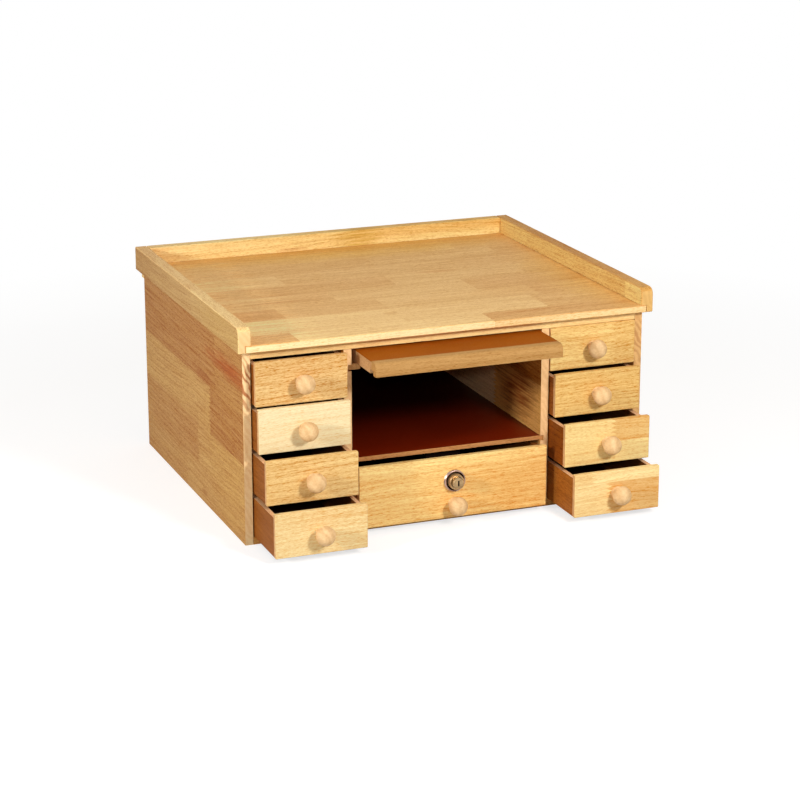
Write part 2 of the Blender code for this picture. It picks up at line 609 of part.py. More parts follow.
def build_lock(drawer):
    """Cam lock: body with a flange, nut behind the front, and the plug that turns the cam."""
    axis = (0, 0, LOCK_HEIGHT)
    groove_floor = LOCK_FLANGE_THICKNESS - LOCK_GROOVE_DEPTH
    rounding = LOCK_RIM_WIDTH / 3
    step = LOCK_SLEEVE_WALL / 3
    profile = [(LOCK_BARREL_RADIUS, BARREL_END), (LOCK_BARREL_RADIUS, GLUE_GAP),
               (LOCK_FLANGE_RADIUS, GLUE_GAP), (LOCK_FLANGE_RADIUS, LOCK_FLANGE_THICKNESS - rounding),
               (LOCK_FLANGE_RADIUS - rounding, LOCK_FLANGE_THICKNESS),
               (LOCK_RIM_RADIUS, LOCK_FLANGE_THICKNESS),
               (LOCK_RIM_RADIUS - rounding, groove_floor), (LOCK_SLEEVE_RADIUS, groove_floor),
               (LOCK_SLEEVE_RADIUS, LOCK_SLEEVE_LENGTH - 2 * step),
               (LOCK_SLEEVE_RADIUS - step, LOCK_SLEEVE_LENGTH - step),
               (LOCK_SLEEVE_RADIUS - step, LOCK_SLEEVE_LENGTH),
               (LOCK_BORE_RADIUS, LOCK_SLEEVE_LENGTH), (LOCK_BORE_RADIUS, BARREL_END)]
    place("lock_body", moved(turned(profile, closed=True), axis), "chrome", drawer)

    corner = NUT_FLAT / math.cos(math.radians(30))
    hexagon = []
    for side in range(6):
        angle = math.radians(60 * side)
        hexagon.append((corner * math.cos(angle), corner * math.sin(angle)))
    nut_hole = rod(NUT_BORE_RADIUS, NUT_BACK - OVERCUT, NUT_FRONT + OVERCUT)
    nut = cut(prism(hexagon, "Y", -NUT_FRONT, -NUT_BACK), nut_hole)
    place("lock_nut", moved(nut, axis), "zinc", drawer)

    turning = carrier("lock", axis, drawer)
    plug_end = BARREL_END - GLUE_GAP
    chamfer = LOCK_PLUG_RADIUS / 10
    plug = turned([(0, plug_end), (LOCK_PLUG_RADIUS, plug_end),
                   (LOCK_PLUG_RADIUS, LOCK_PLUG_LENGTH - chamfer),
                   (LOCK_PLUG_RADIUS - chamfer, LOCK_PLUG_LENGTH), (0, LOCK_PLUG_LENGTH)])
    keyway = block((-KEYWAY_WIDTH / 2, -LOCK_PLUG_LENGTH - OVERCUT, -KEYWAY_HEIGHT / 2),
                   (KEYWAY_WIDTH / 2, -LOCK_PLUG_LENGTH + KEYWAY_DEPTH, KEYWAY_HEIGHT / 2))
    tang = block((-TANG_HALF, -plug_end - EMBED, -TANG_HALF), (TANG_HALF, -CAM_BACK, TANG_HALF))
    place("lock_plug", joined(cut(plug, keyway), tang), "nickel", turning)

    tip = CAM_HALF / 2
    outline = [(-CAM_HALF, -CAM_HALF), (CAM_REACH - tip, -CAM_HALF), (CAM_REACH, -CAM_HALF + tip),
               (CAM_REACH, CAM_HALF - tip), (CAM_REACH - tip, CAM_HALF), (-CAM_HALF, CAM_HALF)]
    square_hole = block((-CAM_HOLE_HALF, -CAM_FRONT - OVERCUT, -CAM_HOLE_HALF),
                        (CAM_HOLE_HALF, -CAM_BACK + OVERCUT, CAM_HOLE_HALF))
    cam = cut(prism(outline, "Y", -CAM_FRONT, -CAM_BACK), square_hole)
    place("lock_cam", cam, "zinc", turning)


def main():
    clear_scene()
    build_case()
    build_worktop()
    build_tray()
    build_small_drawers()
    build_centre_drawer()


main()
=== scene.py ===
"""Looks of the tabletop watchmaker's bench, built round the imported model."""
import math

import bmesh
import bpy
from mathutils import Matrix, Vector


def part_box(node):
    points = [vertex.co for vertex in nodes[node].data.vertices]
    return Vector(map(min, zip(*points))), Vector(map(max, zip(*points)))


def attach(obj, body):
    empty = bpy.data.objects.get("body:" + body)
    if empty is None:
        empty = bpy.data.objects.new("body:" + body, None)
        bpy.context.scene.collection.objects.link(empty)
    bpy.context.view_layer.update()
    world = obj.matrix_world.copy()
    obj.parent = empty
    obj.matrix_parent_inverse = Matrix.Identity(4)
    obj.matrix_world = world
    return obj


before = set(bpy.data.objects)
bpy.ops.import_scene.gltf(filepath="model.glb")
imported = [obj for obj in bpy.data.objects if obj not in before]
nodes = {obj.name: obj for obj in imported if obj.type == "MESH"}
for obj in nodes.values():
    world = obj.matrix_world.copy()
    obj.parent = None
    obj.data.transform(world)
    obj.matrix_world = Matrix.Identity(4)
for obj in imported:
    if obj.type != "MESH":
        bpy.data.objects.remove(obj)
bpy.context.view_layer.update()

WHITE = (1.0, 1.0, 1.0, 1.0)

# Camera, fitted to the photograph
CAMERA_PLACE = (-0.94811, -2.47764, 0.88544)
CAMERA_WAY = (0.34482, 0.89644, -0.27836)
CAMERA_ROLL = -0.13
CAMERA_LENS = 107.27
CAMERA_SENSOR = 36.0
CAMERA_SHIFT = (0.01378, -0.03469)

# Studio light: what the lamps point at, then the name, place, size and power of each
LIGHT_TARGET = (0.0, -0.1, 0.12)
LIGHTS = (
    ("key", (0.25, -1.35, 0.8), 0.22, 11.8),
    ("left", (-1.75, -0.8, 0.68), 0.2, 17.0),
    ("front", (-0.9, -2.4, 0.95), 0.1, 8.0),
)

# Light of the surround: its colour, the way it is brightest and how it turns dark away from that,
# its lowest level and what is added the bright way
WORLD_COLOUR = (1.0, 0.95, 0.89, 1.0)
WORLD_WAY = (0.0, 0.55, 0.83)
WORLD_TURN = (-0.45, 0.75)
WORLD_LOW = 0.03
WORLD_GAIN = 0.5

# White floor: the grey that bounces light, how much of the light falling on it shows and what is
# added to that, and where it fades into the surround
FLOOR_REACH = 6.0
FLOOR_BOUNCE = 0.5
FLOOR_SHARE = 0.45
FLOOR_GLOW = 0.7
FLOOR_FADE = (0.55, 1.1)

# Pan-head screws: radius and height of each ring of the head, sides, and the cross recess in it
SCREW_PROFILE = (
    (0.0023, 0.0), (0.0024, 0.0005), (0.0021, 0.001),
    (0.0015, 0.0013), (0.0011, 0.0014), (0.0004, 0.0014),
)
SCREW_SIDES = 16
SCREW_CROSS = 0.0014
SCREW_RECESS = 0.0008

# Screws of the back panel: shares of a partition's height and of the bottom's half width
PARTITION_SCREWS = (0.15, 0.5, 0.85)
BOTTOM_SCREWS = (-0.85, -0.28, 0.28, 0.85)
PARTITION_THICKNESS = 0.0089

# Cam lock: outer radius of the sleeve, the groove round it and the flange, how steeply the rounded
# flange falls at its edges, and the reach of the keyway in the plug and its depth from the plug's face
LOCK_SLEEVE_RADIUS = 0.0087
LOCK_RIM_RADIUS = 0.0105
LOCK_FLANGE_RADIUS = 0.0121
RING_SLOPE = 1.3
KEYWAY_REACH = 0.0034
KEYWAY_DEPTH = (0.0002, 0.006)

# Faces are taken to face a way, or to stand upright, by a part of their normal
FACING = 0.9
UPRIGHT = 0.1

# Axes of the part taken along the grain, across the staves and through the board
ORDERS = {"X": ("X", "Z", "Y"), "Y": ("Y", "Z", "X"), "XY": ("X", "Y", "Z")}

# Finger joints of the glued-up boards
FINGER_PITCH = 0.005
FINGER_SLOPE = 3.2

# Grain: how far each stave's start moves it, how much it slopes and wanders, and how often each mark
# comes per metre along the grain, across it and through the board
STAVE_JUMP = (5.0, 3.1, 2.3)
GRAIN_SLOPE = 0.11
WANDER_REACH = 0.011
WANDER_SCALE = (6.0, 11.0, 11.0)
BAND_SCALE = (3.0, 46.0, 46.0)
STREAK_SCALE = (10.0, 300.0, 300.0)
LINE_SCALE = (20.0, 1000.0, 1000.0)
DASH_SCALE = (210.0, 1650.0, 1650.0)
FINE_SCALE = (450.0, 2000.0, 2000.0)
RING_PITCH = 1000.0
RING_WOBBLE = 30.0

# Values of the noise between which the rings, lines and dashes come up
RING_EDGE = (0.1, 1.0)
LINE_EDGE = (0.5, 0.68)
DASH_EDGE = (0.52, 0.68)

# How far each mark takes the colour from light, at 0, to dark, at 1, from a first depth and between limits
FIRST_DEPTH = 0.17
BAND_WEIGHT = 0.7
RING_WEIGHT = 0.3
STREAK_WEIGHT = 0.9
LINE_WEIGHT = 0.45
DASH_WEIGHT = 0.72
FINE_WEIGHT = 1.2
SHADE_WEIGHT = 0.9
PALEST = -0.4
DEEPEST = 1.9

# Staves that are drawn: how the draw moves from row to row, how far it shifts a row, in staves,
# and the spread of their shades and warmths
ROW_STEP = 3.17
ROW_SHIFT = 13.7
SHADE_SPREAD = 0.5
WARMTH_SPREAD = 0.2

# Staves that are laid: how the number that starts their grain moves from row to row and in a row,
# and how far their colour ramp goes past the last start
GRAIN_SHARE = 0.618
GRAIN_ROW_STEP = 7
GRAIN_STAVE_STEP = 3
START_MARGIN = 0.001

# Tint patches: streaks of their ragged edge, how ragged it is and where it fades
PATCH_STREAKS = (24.0, 420.0, 1.0)
PATCH_RAGGED = 2.4
PATCH_FADE = (1.2, -0.2)

# Red heart in the end grain: its height, how it fades away from there and its colour
HEART_HEIGHT = 0.178
HEART_FADE = (0.036, 0.012)
HEART_COLOUR = (176, 92, 46)

# Rings of the end grain and bands of the knobs: noise that bends them, turns per metre in X and Z,
# and how far they bend
END_RINGS = ((60.0, 60.0, 60.0), (900.0, 520.0), 14.0)
KNOB_BANDS = ((45.0, 20.0, 45.0), (620.0, 260.0), 16.0)

# How often the finer marks of the other materials come per metre
END_SPECKS = (1100.0, 1100.0, 1100.0)
END_CLOUDS = (25.0, 25.0, 25.0)
KNOB_GRAIN = (500.0, 40.0, 500.0)
HARDBOARD_CLOUDS = (9.0, 9.0, 9.0)
HARDBOARD_FLECKS = (900.0, 900.0, 900.0)
HARDBOARD_FIBRES = (60.0, 700.0, 700.0)
METAL_SMUDGES = (180.0, 180.0, 180.0)
METAL_SCRATCHES = (300.0, 4200.0, 300.0)

# Roughness of the woods: what their marks add, and the least
BOARD_ROUGH = (0.2, 0.42)
END_ROUGH = (0.2, 0.45)
KNOB_ROUGH = (0.2, 0.4)

# Strength and depth of the bump of each material
BOARD_BUMP = (0.3, 0.0003)
END_BUMP = (0.25, 0.0003)
KNOB_BUMP = (0.1, 0.0002)
HARDBOARD_BUMP = (0.12, 0.0003)
METAL_BUMP = (0.1, 0.0002)

# How much the lacquered boards and the knobs reflect
BOARD_GLOSS = 0.06
KNOB_GLOSS = 0.1


def srgb(red, green, blue):
    """Return a linear colour for a colour written from 0 to 255."""
    linear = []
    for value in (red, green, blue):
        part = value / 255
        linear.append(part / 12.92 if part <= 0.04045 else ((part + 0.055) / 1.055) ** 2.4)
    return (*linear, 1.0)


class Graph:
    """Short calls that add nodes to a tree."""

    def __init__(self, tree):
        self.tree = tree

    def add(self, kind, inputs=None, **settings):
        made = self.tree.nodes.new(kind)
        for key, value in settings.items():
            setattr(made, key, value)
        for key, value in (inputs or {}).items():
            self.feed(made.inputs[key], value)
        return made

    def feed(self, socket, value):
        if isinstance(value, bpy.types.NodeSocket):
            self.tree.links.new(value, socket)
        else:
            socket.default_value = value

    def math(self, operation, *values):
        inputs = dict(enumerate(values))
        return self.add("ShaderNodeMath", inputs, operation=operation).outputs[0]

    def plus(self, value, factor, base):
        """Return value times factor, added to the base."""
        return self.math('MULTIPLY_ADD', value, factor, base)

    def times(self, first, second):
        return self.math('MULTIPLY', first, second)

    def minus(self, first, second):
        return self.math('SUBTRACT', first, second)

    def centred(self, value):
        """Return a value from 0 to 1 as one around 0."""
        return self.minus(value, 0.5)

    def vector(self, operation, *vectors):
        inputs = dict(enumerate(vectors))
        return self.add("ShaderNodeVectorMath", inputs, operation=operation).outputs

    def noise(self, vector, scale, detail=2.0, roughness=0.5):
        place = self.vector('MULTIPLY', vector, scale)["Vector"]
        inputs = {"Vector": place, "Scale": 1.0, "Detail": detail, "Roughness": roughness}
        return self.add("ShaderNodeTexNoise", inputs).outputs["Fac"]

    def ramp(self, value, low, high):
        inputs = {"Value": value, "From Min": low, "From Max": high}
        return self.add("ShaderNodeMapRange", inputs, clamp=True).outputs[0]

    def mix(self, factor, first, second, blend='MIX', clamp=False):
        made = self.add("ShaderNodeMix", data_type='RGBA', blend_type=blend, clamp_factor=False,
                        clamp_result=clamp)
        self.feed(made.inputs[0], factor)
        self.feed(made.inputs[6], first)
        self.feed(made.inputs[7], second)
        return made.outputs[2]

    def combine(self, x, y, z):
        return self.add("ShaderNodeCombineXYZ", {0: x, 1: y, 2: z}).outputs[0]

    def separate(self, vector):
        return self.add("ShaderNodeSeparateXYZ", {0: vector}).outputs

    def place(self):
        """Return the place on the part, which moves with its body."""
        return self.add("ShaderNodeTexCoord").outputs["Object"]

    def bump(self, height, strength, distance):
        inputs = {"Strength": strength, "Distance": distance, "Height": height}
        return self.add("ShaderNodeBump", inputs)

    def steps(self, value, low, high, stops):
        """Return a colour that changes abruptly at the starts of the stops."""
        made = self.add("ShaderNodeValToRGB", {0: self.ramp(value, low, high)})
        made.color_ramp.interpolation = 'CONSTANT'
        elements = made.color_ramp.elements
        elements.remove(elements[1])
        for index, (start, colour) in enumerate(stops):
            place = min(max((start - low) / (high - low), 0.0), 1.0)
            element = elements[0] if index == 0 else elements.new(place)
            element.position = place
            element.color = (*colour, 1.0)
        return made.outputs["Color"]


def wood_group():
    """Node group of lacquered light hardwood.

    The vector's X runs along the grain, Y across it and Z through the board. The stave holds
    a shade, a warmth and a number that starts the grain afresh.
    """
    tree = bpy.data.node_groups.new("light_hardwood", "ShaderNodeTree")
    sockets = (
        ('INPUT', 'NodeSocketVector', ("Vector", "Stave")),
        ('INPUT', 'NodeSocketColor', ("Light", "Dark", "Warm")),
        ('INPUT', 'NodeSocketFloat', ("Figure", "Fleck")),
        ('OUTPUT', 'NodeSocketColor', ("Color",)),
        ('OUTPUT', 'NodeSocketFloat', ("Roughness", "Height")),
    )
    for side, kind, names in sockets:
        for name in names:
            tree.interface.new_socket(name=name, in_out=side, socket_type=kind)
    graph = Graph(tree)
    given = graph.add("NodeGroupInput").outputs
    along, across, through = graph.separate(given["Vector"])
    shade, warmth, start = graph.separate(given["Stave"])

    def started(sideways):
        """Return the place in the grain, which starts afresh in each stave."""
        parts = zip(STAVE_JUMP, (along, sideways, through))
        return graph.combine(*[graph.plus(start, jump, part) for jump, part in parts])

    # Grain that wanders and slopes a little, with its bands, rings, streaks, lines, dashes and specks
    wander = graph.noise(started(across), WANDER_SCALE, 1.0)
    bent = graph.plus(graph.centred(wander), WANDER_REACH, across)
    bent = graph.plus(along, graph.times(graph.centred(start), GRAIN_SLOPE), bent)
    grain = started(bent)
    band = graph.noise(grain, BAND_SCALE, 3.0)
    turns = graph.plus(bent, RING_PITCH, graph.times(band, RING_WOBBLE))
    ring = graph.ramp(graph.math('SINE', turns), *RING_EDGE)
    streak = graph.noise(grain, STREAK_SCALE, 3.0, 0.6)
    line = graph.ramp(graph.noise(grain, LINE_SCALE, 2.0), *LINE_EDGE)
    dash = graph.ramp(graph.noise(grain, DASH_SCALE, 1.0), *DASH_EDGE)
    fine = graph.noise(grain, FINE_SCALE, 2.0, 0.6)

    depth = graph.plus(graph.centred(band), BAND_WEIGHT, FIRST_DEPTH)
    depth = graph.plus(graph.times(ring, given["Figure"]), RING_WEIGHT, depth)
    depth = graph.plus(graph.centred(streak), STREAK_WEIGHT, depth)
    speckle = graph.plus(line, LINE_WEIGHT, graph.times(dash, DASH_WEIGHT))
    speckle = graph.plus(graph.centred(fine), FINE_WEIGHT, speckle)
    depth = graph.plus(speckle, given["Fleck"], depth)
    depth = graph.minus(depth, graph.times(shade, SHADE_WEIGHT))
    depth = graph.math('MAXIMUM', graph.math('MINIMUM', depth, DEEPEST), PALEST)
    colour = graph.mix(depth, given["Light"], given["Dark"])
    colour = graph.mix(warmth, colour, given["Warm"], 'MULTIPLY')

    out = graph.add("NodeGroupOutput").inputs
    graph.feed(out["Color"], colour)
    graph.feed(out["Roughness"], graph.plus(streak, *BOARD_ROUGH))
    graph.feed(out["Height"], graph.plus(fine, 0.4, graph.times(dash, -0.5)))
    return tree


WOOD = wood_group()


def new_material(name):
    """Return a fresh material with its graph and shader."""
    material = bpy.data.materials.new(name)
    material.use_nodes = True
    return material, Graph(material.node_tree), material.node_tree.nodes["Principled BSDF"]


def feed_shader(graph, shader, colour, roughness, bump):
    """Link what varies over a surface to its shader."""
    graph.feed(shader.inputs["Base Color"], colour)
    graph.feed(shader.inputs["Roughness"], roughness)
    graph.feed(shader.inputs["Normal"], bump.outputs[0])


def random_staves(graph, along, across, seed, width, length):
    """Staves of one width and about one length, with shades that come from the seed."""
    row = graph.math('FLOOR', graph.math('DIVIDE', across, width))
    moved = graph.plus(row, ROW_STEP, seed)
    drawn = graph.add("ShaderNodeTexWhiteNoise", {"W": moved}, noise_dimensions='1D')
    place = graph.plus(along, 1.0 / length, graph.times(drawn.outputs["Value"], ROW_SHIFT))
    key = graph.combine(row, graph.math('FLOOR', place), seed)
    drawn = graph.add("ShaderNodeTexWhiteNoise", {"Vector": key}, noise_dimensions='3D')
    red, green, blue = graph.separate(drawn.outputs["Color"])
    shade = graph.minus(graph.times(red, SHADE_SPREAD), SHADE_SPREAD / 2)
    warmth = graph.times(graph.math('POWER', green, 2.0), WARMTH_SPREAD)
    return graph.combine(shade, warmth, blue)


def laid_staves(graph, along, across, seed, rows):
    """Staves set out one by one, in rows of an upper limit and each stave's start, shade and warmth."""
    starts = [stave[0] for _, staves in rows for stave in staves]
    low, high = min(starts), max(starts) + START_MARGIN
    result = None
    for number, (limit, staves) in reversed(list(enumerate(rows))):
        stops = []
        for index, (start, shade, warmth) in enumerate(staves):
            step = seed + GRAIN_ROW_STEP * number + GRAIN_STAVE_STEP * index
            grain = math.modf(GRAIN_SHARE * step)[0]
            # A ramp holds colours from 0 to 1, so the shade is kept around a half
            stops.append((start, (0.5 + 0.5 * shade, warmth, grain)))
        colour = graph.steps(along, low, high, stops)
        below = graph.math('LESS_THAN', across, limit)
        result = colour if result is None else graph.mix(below, result, colour)
    red, green, blue = graph.separate(result)
    return graph.combine(graph.plus(red, 2.0, -1.0), green, blue)


def patch(graph, colour, place, centre, size, tint, strength):
    """Blend a ragged oval patch of another tint into a colour, given along and across the grain."""
    along, across = place
    ragged = graph.noise(graph.combine(along, across, 0.0), PATCH_STREAKS, 2.0)
    u = graph.math('DIVIDE', graph.minus(along, centre[0]), size[0])
    v = graph.math('DIVIDE', graph.minus(across, centre[1]), size[1])
    reach = graph.math('ADD', graph.times(u, u), graph.times(v, v))
    reach = graph.plus(graph.centred(ragged), PATCH_RAGGED, reach)
    inside = graph.times(graph.ramp(reach, *PATCH_FADE), strength)
    return graph.mix(inside, colour, srgb(*tint), 'MULTIPLY', clamp=True)


def wood(name, order, seed, light, dark, warm=(222, 160, 110), figure=0.5, fleck=1.0,
         width=2.0, length=4.0, rows=None, fingers=False, patches=()):
    """Return a wood whose grain runs along the first axis of the order."""
    material, graph, shader = new_material(name)
    parts = graph.separate(graph.place())
    along, across, through = [parts[axis] for axis in ORDERS[order]]
    jointed = along
    if fingers:
        zigzag = graph.math('PINGPONG', across, FINGER_PITCH / 2)
        jointed = graph.plus(zigzag, FINGER_SLOPE, along)
    if rows:
        stave = laid_staves(graph, jointed, across, seed, rows)
    else:
        stave = random_staves(graph, jointed, across, seed, width, length)
    inputs = {
        "Vector": graph.combine(along, across, through),
        "Stave": stave,
        "Light": srgb(*light),
        "Dark": srgb(*dark),
        "Warm": srgb(*warm),
        "Figure": figure,
        "Fleck": fleck,
    }
    group = graph.add("ShaderNodeGroup", node_tree=WOOD)
    for key, value in inputs.items():
        graph.feed(group.inputs[key], value)
    colour = group.outputs["Color"]
    for centre, size, tint, strength in patches:
        colour = patch(graph, colour, (along, across), centre, size, tint, strength)
    bump = graph.bump(group.outputs["Height"], *BOARD_BUMP)
    feed_shader(graph, shader, colour, group.outputs["Roughness"], bump)
    shader.inputs["Specular IOR Level"].default_value = BOARD_GLOSS
    return material


def slanting_rings(graph, place, scale, pitch, wobble):
    """Return the noise that bends the rings of a cut across the grain, and the rings, from -1 to 1."""
    x, _, z = graph.separate(place)
    noise = graph.noise(place, scale, 2.0)
    slant = graph.plus(x, pitch[0], graph.times(z, pitch[1]))
    return noise, graph.math('SINE', graph.plus(noise, wobble, slant))


def end_grain(name, light, dark, red=0.0):
    """Return wood cut across the grain: pale, with slanting rings, and a red heart near the top."""
    material, graph, shader = new_material(name)
    place = graph.place()
    wobble, ring = slanting_rings(graph, place, *END_RINGS)
    speckle = graph.noise(place, END_SPECKS, 2.0, 0.6)
    cloud = graph.noise(place, END_CLOUDS, 2.0)
    depth = graph.plus(ring, 0.16, graph.plus(speckle, 0.9, graph.plus(cloud, 0.8, -0.4)))
    colour = graph.mix(depth, srgb(*light), srgb(*dark))
    if red:
        height = graph.separate(place)["Z"]
        away = graph.math('ABSOLUTE', graph.minus(height, HEART_HEIGHT))
        vein = graph.ramp(graph.plus(ring, 0.3, wobble), 0.4, 0.7)
        amount = graph.times(graph.times(graph.ramp(away, *HEART_FADE), vein), red)
        colour = graph.mix(amount, colour, srgb(*HEART_COLOUR))
    bump = graph.bump(speckle, *END_BUMP)
    feed_shader(graph, shader, colour, graph.plus(speckle, *END_ROUGH), bump)
    shader.inputs["Specular IOR Level"].default_value = BOARD_GLOSS
    return material


def turned(name, light, dark):
    """Return the smooth wood of the turned knobs, with soft curved bands that differ from knob to knob."""
    material, graph, shader = new_material(name)
    place = graph.place()
    _, band = slanting_rings(graph, place, *KNOB_BANDS)
    grain = graph.noise(place, KNOB_GRAIN, 3.0, 0.6)
    depth = graph.plus(band, 0.2, graph.plus(grain, 1.2, -0.25))
    colour = graph.mix(depth, srgb(*light), srgb(*dark))
    bump = graph.bump(grain, *KNOB_BUMP)
    feed_shader(graph, shader, colour, graph.plus(grain, *KNOB_ROUGH), bump)
    shader.inputs["Specular IOR Level"].default_value = KNOB_GLOSS
    return material


def hardboard(name, base, dark, roughness=0.34, gloss=0.5, painted_shade=None):
    """Return a smooth brown faced board with faint clouds and fine flecks.

    A board given painted shade darkens from one Y to another, down to a share of its colour.
    """
    material, graph, shader = new_material(name)
    place = graph.place()
    cloud = graph.ramp(graph.noise(place, HARDBOARD_CLOUDS, 4.0, 0.55), 0.3, 0.7)
    fleck = graph.ramp(graph.noise(place, HARDBOARD_FLECKS, 2.0, 0.6), 0.35, 0.75)
    fibre = graph.noise(place, HARDBOARD_FIBRES)
    amount = graph.plus(cloud, 0.5, graph.times(fleck, 0.35))
    colour = graph.mix(amount, srgb(*base), srgb(*dark))
    if painted_shade:
        start, end, share = painted_shade
        depth = graph.ramp(graph.separate(place)["Y"], start, end)
        colour = graph.mix(depth, colour, (share, share, share, 1.0), 'MULTIPLY')
    bump = graph.bump(fibre, *HARDBOARD_BUMP)
    feed_shader(graph, shader, colour, graph.plus(fleck, 0.12, roughness), bump)
    shader.inputs["Specular IOR Level"].default_value = gloss
    return material


def rounded_ring(graph, place, middle, radius, half):
    """Return the normal of a ring facing the front, rounded over between its edges."""
    x, _, z = graph.separate(place)
    up = graph.minus(z, middle)
    out = graph.math('SQRT', graph.math('ADD', graph.times(x, x), graph.times(up, up)))
    tilt = graph.math('DIVIDE', graph.minus(out, radius), graph.times(out, half / RING_SLOPE))
    normal = graph.combine(graph.times(x, tilt), -1.0, graph.times(up, tilt))
    return graph.vector('NORMALIZE', normal)["Vector"]


def metal(name, base, dark, roughness, ring=None):
    """Return a plated metal with faint turning marks and smudges.

    A ring that faces the front, given as its height Z, middle radius and half width, is rounded over.
    """
    material, graph, shader = new_material(name)
    place = graph.place()
    smudge = graph.noise(place, METAL_SMUDGES, 4.0, 0.6)
    scratch = graph.noise(place, METAL_SCRATCHES)
    bump = graph.bump(scratch, *METAL_BUMP)
    if ring:
        graph.feed(bump.inputs["Normal"], rounded_ring(graph, place, *ring))
    colour = graph.mix(graph.ramp(smudge, 0.35, 0.75), srgb(*base), srgb(*dark))
    feed_shader(graph, shader, colour, graph.plus(smudge, 0.16, roughness), bump)
    shader.inputs["Metallic"].default_value = 1.0
    return material


SCREW_METAL = metal("screw_zinc", (196, 196, 192), (158, 156, 150), 0.3)


def dress(name, material):
    """Give a CAD node its material."""
    slots = nodes[name].data.materials
    slots.clear()
    slots.append(material)


def dress_faces(name, material, chosen):
    """Give the faces of a CAD node that pass a test another material."""
    mesh = nodes[name].data
    mesh.materials.append(material)
    index = len(mesh.materials) - 1
    for face in mesh.polygons:
        if chosen(face):
            face.material_index = index


def faces_front(face):
    return face.normal.y < -FACING


def faces_left(face):
    return face.normal.x < -FACING


def faces_up(face):
    return face.normal.z > FACING


def faces_inside(name):
    """Return a test for the upright faces of a box that face its middle."""
    low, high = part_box(name)
    middle = (low + high) / 2

    def test(face):
        return abs(face.normal.z) < UPRIGHT and (face.center - middle).dot(face.normal) < 0

    return test


# Rows of staves, from the lowest upwards: upper limit, then start, shade and warmth of each stave
LEFT_SIDE_ROWS = (
    (0.0420, ((-0.2, 0.15, 0.0), (0.030, 0.05, 0.04))),
    (0.0895, ((-0.2, 0.20, 0.0), (-0.018, 0.0, 0.10))),
    (0.1440, ((-0.2, -0.25, 0.16), (-0.066, 0.25, 0.0))),
    (0.3000, ((-0.2, -0.05, 0.12), (-0.088, -0.20, 0.16))),
)
RIGHT_SIDE_ROWS = (
    (0.0480, ((-0.2, 0.05, 0.05), (0.055, 0.20, 0.0))),
    (0.0980, ((-0.2, 0.15, 0.0), (-0.095, -0.15, 0.15), (0.12, 0.1, 0.0))),
    (0.1560, ((-0.2, -0.20, 0.15), (0.010, 0.15, 0.05))),
    (0.3000, ((-0.2, 0.10, 0.0), (-0.060, -0.10, 0.12), (0.135, 0.2, 0.0))),
)
# The leftmost staves of the three front rows are lighter, partly as painted light against the left rail's
# shadow
WORKTOP_ROWS = (
    (-0.1660, ((-0.3, -0.16, 0.08), (-0.174, 0.45, 0.0), (0.049, -0.20, 0.06))),
    (-0.1100, ((-0.3, 0.40, 0.0), (-0.040, 0.30, 0.0), (0.130, -0.05, 0.0))),
    (-0.0670, ((-0.3, -0.24, 0.12), (-0.157, -0.02, 0.04), (-0.037, 0.15, 0.0), (0.145, -0.1, 0.05))),
    (-0.0160, ((-0.3, 0.02, 0.05), (-0.080, 0.10, 0.0), (0.086, -0.10, 0.06))),
    (0.0310, ((-0.3, -0.04, 0.06), (0.010, 0.10, 0.0), (0.170, 0.0, 0.0))),
    (0.0780, ((-0.3, 0.12, 0.0), (-0.110, 0.04, 0.02), (0.110, 0.0, 0.05))),
    (0.1250, ((-0.3, -0.02, 0.05), (0.020, 0.06, 0.02), (0.180, -0.05, 0.05))),
    (0.1720, ((-0.3, 0.02, 0.04), (-0.060, 0.08, 0.0), (0.140, 0.02, 0.06))),
    (0.3000, ((-0.3, -0.06, 0.06), (0.050, 0.0, 0.03))),
)
WORKTOP_EDGE_ROWS = ((0.5, ((-0.3, 0.2, 0.0), (0.049, -0.35, 0.06))),)
# The partitions' upper board is darker, partly as its own tone and partly as painted shade under the tray
PARTITION_ROWS = (
    (0.0550, ((-0.2, 0.10, 0.9), (0.020, -0.10, 0.9))),
    (0.1400, ((-0.2, 0.20, 0.9), (-0.060, 0.15, 0.0))),
    (0.3000, ((-0.2, -0.95, 1.0), (-0.020, -0.5, 0.4))),
)
LEFT_RAIL_ROWS = ((0.5, ((-0.3, 0.15, 0.0), (-0.030, -0.05, 0.06), (0.135, -0.15, 0.1))),)
RIGHT_RAIL_ROWS = ((0.5, ((-0.3, 0.15, 0.0), (-0.161, -0.1, 0.06), (0.106, 0.05, 0.0))),)
BACK_RAIL_ROWS = ((0.5, ((-0.3, 0.08, 0.0), (0.058, 0.0, 0.04))),)

# Tint patches: middle along and across the grain, reach, tint and strength; a tint above 255 lightens
LEFT_SIDE_PATCHES = (
    ((-0.155, 0.182), (0.10, 0.013), (232, 160, 92), 1.0),
    ((-0.05, 0.149), (0.03, 0.006), (240, 214, 196), 0.8),
    ((-0.042, 0.013), (0.012, 0.004), (214, 180, 150), 0.8),
    ((-0.15, 0.10), (0.11, 0.13), (255, 254, 238), 1.0),
)
# Painted shadow of the tray on the right partition's inner face
RIGHT_PARTITION_SHADOW = (((-0.122, 0.122), (0.055, 0.034), (150, 106, 78), 1.0),)
WORKTOP_PATCHES = (
    ((-0.043, -0.13), (0.01, 0.008), (230, 206, 180), 0.6),
    ((0.08, 0.03), (0.03, 0.005), (240, 214, 190), 0.7),
    ((-0.13, -0.04), (0.05, 0.003), (236, 206, 180), 0.7),
    # Yellowish band along the back rail: painted reflection of the rail and painted shade at its foot
    ((0.03, 0.18), (0.24, 0.055), (254, 245, 198), 1.0),
    ((0.13, -0.085), (0.06, 0.022), (247, 238, 226), 1.0),
    # Yellowish band along the right rail: painted reflection of the rail
    ((0.225, -0.06), (0.06, 0.14), (255, 252, 226), 1.0),
    # Lighter strip beside the left rail: painted light against the rail's shadow
    ((-0.205, 0.03), (0.07, 0.4), (279, 282, 284), 1.0),
)
LEFT_RAIL_PATCHES = (((-0.15, 0.225), (0.1, 0.04), (250, 246, 228), 1.0),)
